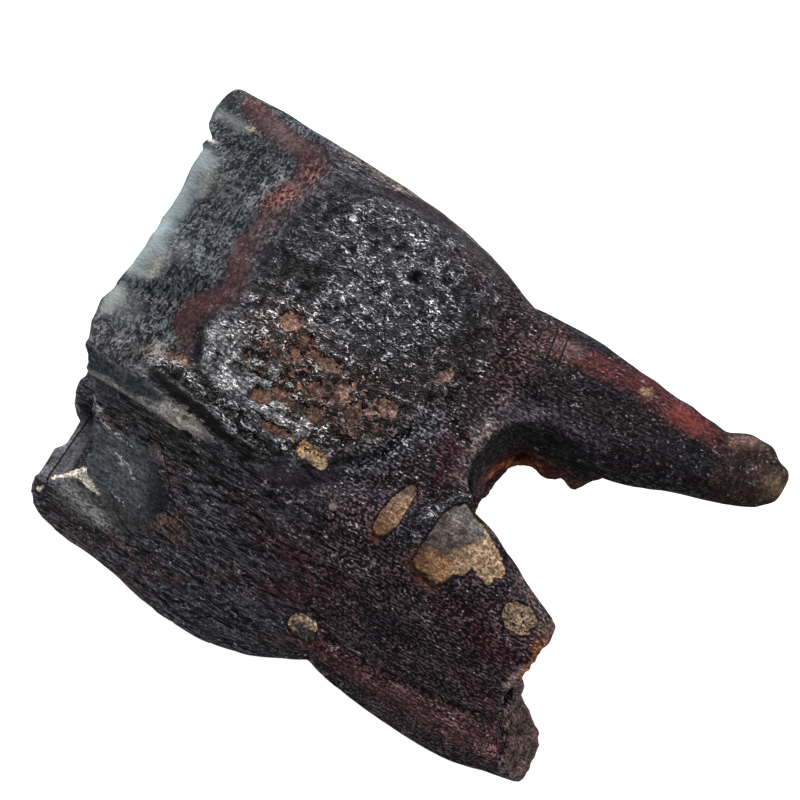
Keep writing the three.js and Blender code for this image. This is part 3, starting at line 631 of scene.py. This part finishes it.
# Thin cracks in the rear face, the wall at the tongue corner and the cheek side, each drawn along x
# and a second axis. They are kept as a signed distance so that they stay sharp.
crack, near = np.full(count, far), np.zeros(count)
for facing, second, cracks in (
        (rear > 0.2, 2, (
            [(8.6, 39.4), (10.6, 37.8), (12.3, 34.2), (13.4, 30), (15.1, 27.4), (17, 26.2)],
            [(5.4, 18.6), (7.4, 17.2), (9.6, 15.9), (12.2, 14.3)],
            [(17.4, 44.6), (19.2, 43), (20.6, 41.4), (21.6, 40)],
            [(17, 6.6), (19.4, 8.2), (22.4, 10.6), (27, 13.2), (30.6, 14.6)])),
        (wall > 0.2, 1, (
            [(-5.6, -8), (-5.4, 3)],)),
        (z > 40, 1, (
            [(24.4, 20.6), (28, 19.4), (31.6, 18.6)],
            [(20.6, 26.6), (22.7, 25.5), (27, 24.4), (31.5, 23.5), (35.7, 22.5), (39.4, 22)],
            [(49.8, 31), (50.6, 26)],
            [(51.4, 31), (52.2, 26.4)]))):
    flat = place[:, (0, second)]
    for points in cracks:
        points = np.array(points, float)
        for a, b in zip(points, points[1:]):
            t = np.clip((flat - a) @ (b - a) / ((b - a) @ (b - a)), 0, 1)
            off = flat - a - t[:, None] * (b - a)
            gap = np.linalg.norm(off, axis=1)
            side = np.sign((b - a)[0] * off[:, 1] - (b - a)[1] * off[:, 0])
            closer = facing & (gap < np.abs(crack))
            crack[closer] = (gap * np.where(side == 0, 1, side))[closer]
            near = np.maximum(near, np.where(facing, ramp(gap, 1.2, 0.7), 0))

# Pale scratches: a long forked one above the slate patch, short ones on it, and one where the rear
# root begins.
scar = np.full(count, far)
for points in ([(-0.4, -1.2, 38.8), (0.4, -1.6, 37), (0.9, -1.9, 35.3), (1.7, -2.3, 34.4),
                (3.1, -2.5, 34.1), (4.4, -2.6, 33.4), (6.4, -3, 33.4)],
               [(1, -1.8, 36.8), (1.9, -2.1, 35.9), (1.7, -2.2, 34.8)],
               [(3.1, -2.6, 33.4), (4.6, -2.6, 34.6)],
               [(4, -3.9, 30.4), (5.6, -4.1, 29.8), (5, -4.4, 28.6)],
               [(6.2, -4.2, 29.6), (7.2, -4.8, 27.8)],
               [(4.2, -6.2, 22.4), (5, -6.4, 21.6), (5.6, -6.4, 21.8)],
               [(6.2, -6.4, 21.6), (6.8, -6.6, 21)],
               [(8.4, -6.2, 23.4), (8.8, -6.3, 23)],
               [(38.4, -9, 14.8), (41, -8.7, 18.2), (43.6, -8.6, 19)]):
    scar = np.minimum(scar, line(points))

for name, values in (("stain", stain), ("pale_mark_and_highlight", pale_mark_and_highlight), ("pattern", pattern),
                     ("bare_tone", np.hstack([shown_tone, pitted[:, None]]))):
    attribute = tooth_mesh.attributes.new(name, "FLOAT_COLOR", "POINT")
    full = values if values.shape[1] == 4 else np.hstack([values, np.ones((count, 1))])
    attribute.data.foreach_set("color", np.clip(full, 0, 2).ravel())
for name, values in (("bare", bare), ("rim_line_and_shadow", rim_line_and_shadow), ("dull", dull), ("crest", crest),
                     ("painted_glint", painted_glint), ("crack", crack), ("near", near), ("scar", scar),
                     ("cobbles", cobbles), ("torn_edge", np.where(patches >= bare, 0.9, 0.3))):
    attribute = tooth_mesh.attributes.new(name, "FLOAT", "POINT")
    attribute.data.foreach_set("value", np.asarray(values, dtype=np.float32))

tooth_mesh.vertices.foreach_set("co", ((place + corner) / 1000).ravel())
tooth_mesh.update()

# One material wears all of it. The fields say how much of each pattern shows at each place.
stone = bpy.data.materials.new("stained_tooth")
stone.use_nodes = True
nodes, links = stone.node_tree.nodes, stone.node_tree.links
surface = nodes["Principled BSDF"]


def feed(socket, value):
    """Joins a value or another node's output to a socket."""
    if isinstance(value, bpy.types.NodeSocket):
        links.new(value, socket)
    else:
        socket.default_value = value


def work(operation, a, b=0.0, c=0.0, clamp=False):
    """One sum on two or three values."""
    n = nodes.new("ShaderNodeMath")
    n.operation, n.use_clamp = operation, clamp
    for socket, value in zip(n.inputs, (a, b, c)):
        feed(socket, value)
    return n.outputs[0]


def step(value, start, end, low=0.0, high=1.0):
    """A smooth step from low to high as the value goes from start to end."""
    n = nodes.new("ShaderNodeMapRange")
    n.interpolation_type = "SMOOTHSTEP"
    for socket, v in zip(n.inputs[:5], (value, start, end, low, high)):
        feed(socket, v)
    return n.outputs[0]


def speck(scale, detail=2.0, rough=0.5, stretch=(1, 1, 1), twist=0.0):
    """A random pattern, given in repeats per mm."""
    at = nodes.new("ShaderNodeVectorMath")
    at.operation = "MULTIPLY"
    feed(at.inputs[0], coords)
    at.inputs[1].default_value = [1000.0 / s for s in stretch]
    n = nodes.new("ShaderNodeTexNoise")
    links.new(at.outputs[0], n.inputs["Vector"])
    for name, v in (("Scale", scale), ("Detail", detail), ("Roughness", rough), ("Distortion", twist)):
        n.inputs[name].default_value = v
    return n.outputs[0]


def blend(factor, a, b, kind="MIX"):
    """Mixes two colours."""
    n = nodes.new("ShaderNodeMix")
    n.data_type, n.blend_type = "RGBA", kind
    feed(n.inputs[0], factor)
    feed(n.inputs[6], a)
    feed(n.inputs[7], b)
    return n.outputs[2]


def field(name, output="Fac"):
    """One of the surface's own fields."""
    n = nodes.new("ShaderNodeAttribute")
    n.attribute_name = name
    return n.outputs[output]


def shade(r, g, b):
    """A colour given from 0 to 255, for a material socket."""
    return [*linear((r, g, b)).tolist(), 1.0]


def off_middle(pattern):
    """How far a random pattern is from its middle value, which is 0 along winding lines."""
    return work("ABSOLUTE", work("SUBTRACT", pattern, 0.5))


def shaken(value, pattern, amount):
    """A value moved up and down by a random pattern, so that an edge cut from it is ragged."""
    return work("MULTIPLY_ADD", work("SUBTRACT", pattern, 0.5), amount, value)


def times(colour, factor):
    """A colour made darker or lighter by a factor."""
    return blend(1.0, colour, factor, "MULTIPLY")


# The four fine marks: short strokes, worm-like wrinkles, woven rows of beads, and fine lines.
coords = nodes.new("ShaderNodeTexCoord").outputs["Object"]
split = nodes.new("ShaderNodeSeparateXYZ")
links.new(coords, split.inputs[0])
along, across, up = (work("MULTIPLY", axis, 1000.0) for axis in split.outputs)
kinds = nodes.new("ShaderNodeSeparateColor")
links.new(field("pattern", "Color"), kinds.inputs[0])
amounts = [*kinds.outputs, field("pattern", "Alpha")]
patchy = speck(0.5, 1.5, 0.5)
fine = speck(3.0, 0.5, 0.5, (1.4, 1, 1.4))
strokes = speck(2.6, 1.5, 0.6, (1, 2.0, 1.6), 0.8)
worms = off_middle(speck(1.7, 1.0, 0.5, (1.9, 1, 1.3), 1.1))
wander = work("MULTIPLY", speck(0.7, 1.0, 0.5, (2.0, 1, 2)), 16.0)
ripple = work("MULTIPLY_ADD", across, 13.0, work("MULTIPLY_ADD", up, 5.5, wander))
beads = work("SINE", work("MULTIPLY_ADD", along, 7.0, work("MULTIPLY", speck(1.5, 1.0), 20.0)))
weave = work("MULTIPLY", work("MULTIPLY_ADD", work("SINE", ripple), 0.30, 0.55),
             work("MULTIPLY_ADD", beads, 0.25, 0.75))
weave = shaken(weave, fine, 2.6)
lines = speck(3.0, 2.0, 0.6, (6.0, 1, 1.7), 0.4)
threads = off_middle(speck(1.8, 1.5, 0.5, (3.5, 1, 2.0), 0.5))
knots = step(speck(0.8, 2.0, 0.6, (1.2, 1, 1.2)), 0.40, 0.58, 0.12, 1.15)
marks = (step(shaken(strokes, patchy, 0.3), 0.40, 0.62),
         work("MULTIPLY", step(shaken(worms, patchy, -0.12), 0.05, 0.012), knots),
         step(weave, 0.30, 0.90),
         work("MULTIPLY_ADD", step(lines, 0.38, 0.62), 0.6, step(threads, 0.03, 0.008, 0.0, 0.45)))
shown = 0.0
for amount, mark in zip(amounts, marks):
    shown = work("MULTIPLY_ADD", amount, mark, shown)
# The pale marks, partly painted highlights, are laid over the ground colour where they show.
colour = blend(work("MINIMUM", shown, 1.0), field("stain", "Color"), field("pale_mark_and_highlight", "Color"))
busy = work("MULTIPLY_ADD", amounts[0], 0.5, amounts[1])
busy = work("ADD", busy, work("ADD", amounts[2], amounts[3]), clamp=True)
colour = blend(busy, colour, step(fine, 0.36, 0.64, 0.42, 1.5), "MULTIPLY")
# Painted shade and highlight: the colour is darkened in the hollows of the surface and lightened on its
# crests.
colour = times(colour, step(field("crest"), -0.16, 0.10, 0.26, 1.24))
dots = speck(3.4, 0.5, 0.5, (1.5, 1, 1.5))
# Painted glints: near-white dots laid on the pale marks, standing for sparkles of reflected light.
painted_glint_dots = work("MULTIPLY", field("painted_glint"), step(shown, 0.05, 0.4))
painted_glint_dots = work("MULTIPLY", step(shaken(dots, patchy, 0.5), 0.69, 0.75), painted_glint_dots)
colour = blend(painted_glint_dots, colour, shade(200, 195, 202))
fissure = off_middle(speck(0.7, 2.5, 0.6, (3.2, 1, 2), 1.0))
fissure = work("MULTIPLY", step(fissure, 0.016, 0.006), work("ADD", amounts[3], amounts[1]))
colour = blend(fissure, colour, shade(6, 5, 7))

# Cobbles: bits of bare brown between what is left of the crust, which bent cells mark out.
cells_per_metre, bends_per_metre, bend_size = 640.0, 900.0, 0.0016
bent = nodes.new("ShaderNodeVectorMath")
bent.operation = "MULTIPLY_ADD"
bent_noise = nodes.new("ShaderNodeTexNoise")
links.new(coords, bent_noise.inputs["Vector"])
bent_noise.inputs["Scale"].default_value = bends_per_metre
links.new(bent_noise.outputs["Color"], bent.inputs[0])
bent.inputs[1].default_value = (bend_size, bend_size, bend_size)
links.new(coords, bent.inputs[2])
stones = []
for feature in ("DISTANCE_TO_EDGE", "F1"):
    n = nodes.new("ShaderNodeTexVoronoi")
    n.feature = feature
    links.new(bent.outputs[0], n.inputs["Vector"])
    n.inputs["Scale"].default_value = cells_per_metre
    stones.append(n)
chance = nodes.new("ShaderNodeSeparateColor")
links.new(stones[1].outputs["Color"], chance.inputs[0])
cobble_in = work("MULTIPLY_ADD", stones[0].outputs["Distance"], 1.6, -0.22)
cobble_on = work("MULTIPLY", work("SUBTRACT", work("ADD", field("cobbles"), chance.outputs[0]), 1.25), 3.0)
cobble = work("MINIMUM", cobble_in, cobble_on)

# The bare places, mottled and pitted, with a dark line under the torn edge of the cement: a dark rim,
# drawn heaviest along the front side of the brown patches as painted shadow.
edge = shaken(work("MAXIMUM", field("bare"), cobble), fine, field("torn_edge"))
in_bare = step(edge, -0.04, 0.10)
tone = times(field("bare_tone", "Color"), step(speck(1.8, 2.0, 0.6, (2.5, 1, 1)), 0.35, 0.65, 0.62, 1.3))
tone = times(tone, step(worms, 0.09, 0.0, 0.72, 1.3))
tone = times(tone, step(strokes, 0.34, 0.66, 0.6, 1.35))
pits = work("MULTIPLY", step(dots, 0.46, 0.38), field("bare_tone", "Alpha"), clamp=True)
tone = blend(pits, tone, shade(24, 20, 20))
each_cobble = times(tone, step(chance.outputs[1], 0.1, 0.9, 0.65, 1.25))
tone = blend(step(field("cobbles"), 0.1, 0.3), tone, each_cobble)
colour = blend(in_bare, colour, tone)
outline = step(work("ABSOLUTE", work("SUBTRACT", edge, 0.02)), 0.17, 0.05)
colour = blend(work("MULTIPLY", outline, field("rim_line_and_shadow")), colour, shade(10, 7, 8))

# Black cracks and pale scratches lie over everything.
split_line = step(work("ABSOLUTE", shaken(field("crack"), fine, 0.3)), 0.15, 0.06)
split_line = work("MULTIPLY", split_line, field("near"))
colour = blend(split_line, colour, shade(8, 7, 8))
scratch = step(shaken(field("scar"), fine, 1.2), 0.28, 0.14)
colour = blend(work("MULTIPLY", scratch, 0.85), colour, shade(190, 193, 193))
feed(surface.inputs["Base Color"], colour)

# Fine relief under 1 mm, and the polish: glossy on crests and marks, duller in hollows and where bare.
relief = 0.0
for amount, pattern_height, depth in zip(amounts, (strokes, worms, weave, lines), (0.4, -1.5, 0.12, 0.5)):
    relief = work("MULTIPLY_ADD", work("MULTIPLY", amount, depth), pattern_height, relief)
relief = work("MULTIPLY_ADD", fine, 0.12, relief)
relief = work("MULTIPLY_ADD", split_line, -0.15, relief)
relief = work("MULTIPLY_ADD", fissure, -0.10, relief)
relief = work("MULTIPLY_ADD", in_bare, -0.12, relief)
bump = nodes.new("ShaderNodeBump")
bump.inputs["Strength"].default_value = 1.0
bump.inputs["Distance"].default_value = 0.001
feed(bump.inputs["Height"], relief)
links.new(bump.outputs[0], surface.inputs["Normal"])
polish = work("MULTIPLY_ADD", in_bare, 0.2, field("dull"))
polish = work("MULTIPLY", polish, step(shown, 0.15, 0.7, 2.0, 0.8))
polish = work("MULTIPLY", polish, step(field("crest"), -0.12, 0.08, 1.6, 0.9), clamp=True)
feed(surface.inputs["Roughness"], polish)
surface.inputs["IOR"].default_value = 1.5
surface.inputs["Specular IOR Level"].default_value = 0.13
tooth_mesh.materials.clear()
tooth_mesh.materials.append(stone)

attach(tooth, "root")
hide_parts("tooth")

# ------------------------------------------------------------------------------
# The floor: a sheet of plain matt white board, wide enough to fill the view on every side. It is
# laid flat on a table, and it glows a little to the camera alone, so that it stays evenly pale.
# ------------------------------------------------------------------------------

half_floor, board_glow = 3.0, 0.85
floor_mesh = bpy.data.meshes.new("floor")
floor_mesh.from_pydata([(-half_floor, -half_floor, 0), (half_floor, -half_floor, 0),
                        (half_floor, half_floor, 0), (-half_floor, half_floor, 0)], [], [(0, 1, 2, 3)])
floor = bpy.data.objects.new("floor", floor_mesh)
bpy.context.collection.objects.link(floor)
board = bpy.data.materials.new("white_board")
board.use_nodes = True
plain = board.node_tree.nodes["Principled BSDF"]
plain.inputs["Base Color"].default_value = (0.35, 0.35, 0.35, 1)
plain.inputs["Roughness"].default_value = 0.9
plain.inputs["Emission Color"].default_value = (1, 1, 1, 1)


def glow_to_camera(tree, socket, glow, fill=0.0):
    """Gives a strength of fill, with glow added only where the camera looks straight at it."""
    seen = tree.nodes.new("ShaderNodeLightPath")
    strength = tree.nodes.new("ShaderNodeMath")
    strength.operation = "MULTIPLY_ADD"
    strength.inputs[1].default_value = glow
    strength.inputs[2].default_value = fill
    tree.links.new(seen.outputs["Is Camera Ray"], strength.inputs[0])
    tree.links.new(strength.outputs[0], socket)


glow_to_camera(board.node_tree, plain.inputs["Emission Strength"], board_glow)
floor_mesh.materials.append(board)

# ------------------------------------------------------------------------------
# The light: a large soft panel above and behind the tooth and two weaker ones at its sides. The
# surround gives a dim even fill, and it looks pale to the camera alone, as the floor does.
# ------------------------------------------------------------------------------

surround_glow, surround_fill = 0.85, 0.05
for name, (px, py, pz), size, energy in (
        ("panel_back", (-0.30, 0.46, 0.32), 0.22, 5.5),
        ("panel_side", (0.36, 0.10, 0.46), 0.14, 1.8),
        ("panel_front", (-0.16, -0.36, 0.48), 0.14, 1.8)):
    panel_data = bpy.data.lights.new(name, "AREA")
    panel_data.shape = "SQUARE"
    panel_data.size = size
    panel_data.energy = energy
    panel = bpy.data.objects.new(name, panel_data)
    panel.location = (px, py, pz)
    panel.rotation_euler = (Vector((0, 0, 0.03)) - panel.location).to_track_quat("-Z", "Y").to_euler()
    bpy.context.collection.objects.link(panel)
world = bpy.data.worlds.new("surround")
world.use_nodes = True
surround = world.node_tree.nodes["Background"]
surround.inputs["Color"].default_value = (0.95, 0.97, 1.0, 1)
glow_to_camera(world.node_tree, surround.inputs["Strength"], surround_glow, surround_fill)
bpy.context.scene.world = world
bpy.context.scene.view_settings.view_transform = "Standard"

# ------------------------------------------------------------------------------
# The camera: a long lens about half a metre away, looking steeply down on the cheek side from the
# rear, with the chewing edge on the left.
# ------------------------------------------------------------------------------

camera_data = bpy.data.cameras.new("camera")
camera_data.sensor_width = 36.0
camera_data.lens = 162.0
camera = bpy.data.objects.new("camera", camera_data)
turn, rise, distance = math.radians(29.4), math.radians(64.9), 0.45
aim = (cad_low + cad_high) / 2 + Vector((-0.0004, -0.0026, 0))
aim.z = cad_high.z - 0.0012
back = Vector((math.sin(turn) * math.cos(rise), -math.cos(turn) * math.cos(rise), math.sin(rise)))
camera.location = aim + back * distance
camera.rotation_euler = back.to_track_quat("Z", "Y").to_euler()
bpy.context.collection.objects.link(camera)
bpy.context.scene.camera = camera
